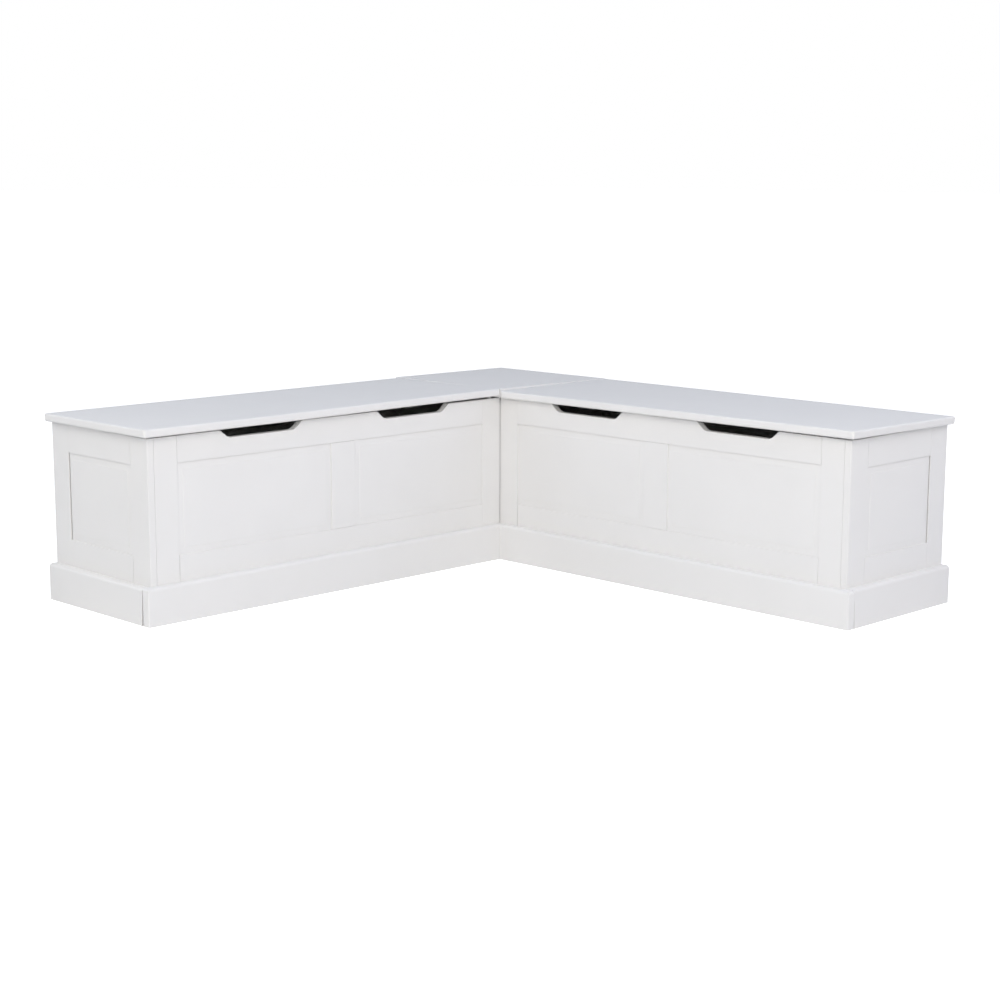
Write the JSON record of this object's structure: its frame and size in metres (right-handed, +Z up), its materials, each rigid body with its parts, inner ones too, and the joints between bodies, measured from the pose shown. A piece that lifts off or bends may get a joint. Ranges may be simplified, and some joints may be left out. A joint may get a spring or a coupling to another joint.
{
  "type": "corner storage bench",
  "caption": "L-shaped corner storage bench with raised-panel fronts, hinged lift-up lids over storage boxes, finger cutouts, a fixed corner seat and a plinth.",
  "frame": {"origin": "centre of the footprint's box, on the floor", "axes": "+Z up; the room corner is at -X +Y, the right wing runs towards +X and the left wing towards -Y"},
  "size_m": [1.55, 1.55, 0.457],
  "materials": {
    "body_paint": "satin white paint on wood",
    "seat_paint": "satin white paint on wood",
    "hinge_steel": "satin",
    "bumper_rubber": "matt"
  },
  "bodies": {
    "bench": {"left_front_inner_stile": "body_paint", "left_front_mid_stile": "body_paint", "left_front_outer_stile": "body_paint", "left_front_top_rail": "body_paint", "left_front_bottom_rail": "body_paint", "left_front_inner_panel": "body_paint", "left_front_outer_panel": "body_paint", "left_end_back_stile": "body_paint", "left_end_front_stile": "body_paint", "left_end_top_rail": "body_paint", "left_end_bottom_rail": "body_paint", "left_end_panel": "body_paint", "left_plinth_front": "body_paint", "left_plinth_end": "body_paint", "left_partition": "body_paint", "left_back_rail": "body_paint", "left_back_panel": "body_paint", "left_floor_panel": "body_paint", "left_floor_cleat": "body_paint", "left_hinge_body_leaf": "hinge_steel", "left_hinge_pin": "hinge_steel", "left_bumper_inner": "bumper_rubber", "left_bumper_outer": "bumper_rubber", "right_front_inner_stile": "body_paint", "right_front_mid_stile": "body_paint", "right_front_outer_stile": "body_paint", "right_front_top_rail": "body_paint", "right_front_bottom_rail": "body_paint", "right_front_inner_panel": "body_paint", "right_front_outer_panel": "body_paint", "right_end_back_stile": "body_paint", "right_end_front_stile": "body_paint", "right_end_top_rail": "body_paint", "right_end_bottom_rail": "body_paint", "right_end_panel": "body_paint", "right_plinth_front": "body_paint", "right_plinth_end": "body_paint", "right_partition": "body_paint", "right_back_rail": "body_paint", "right_back_panel": "body_paint", "right_floor_panel": "body_paint", "right_floor_cleat": "body_paint", "right_hinge_body_leaf": "hinge_steel", "right_hinge_pin": "hinge_steel", "right_bumper_inner": "bumper_rubber", "right_bumper_outer": "bumper_rubber", "corner_post": "body_paint", "corner_wall_post": "body_paint", "corner_back_left": "body_paint", "corner_back_right": "body_paint", "corner_top": "seat_paint"},
    "right_lid_group": {"right_lid": "seat_paint", "right_lid_batten_inner": "body_paint", "right_lid_batten_outer": "body_paint", "right_hinge_lid_leaf": "hinge_steel"},
    "left_lid_group": {"left_lid": "seat_paint", "left_lid_batten_inner": "body_paint", "left_lid_batten_outer": "body_paint", "left_hinge_lid_leaf": "hinge_steel"}
  },
  "joints": [
    {"name": "right_lid_hinge", "type": "hinge", "parent": "bench", "child": "right_lid_group", "pos_m": [0.18975, 0.77315, 0.4349], "axis": [-1, 0, 0], "range_deg": [0, 90]},
    {"name": "left_lid_hinge", "type": "hinge", "parent": "bench", "child": "left_lid_group", "pos_m": [-0.77315, -0.18975, 0.4349], "axis": [0, -1, 0], "range_deg": [0, 90]}
  ]
}
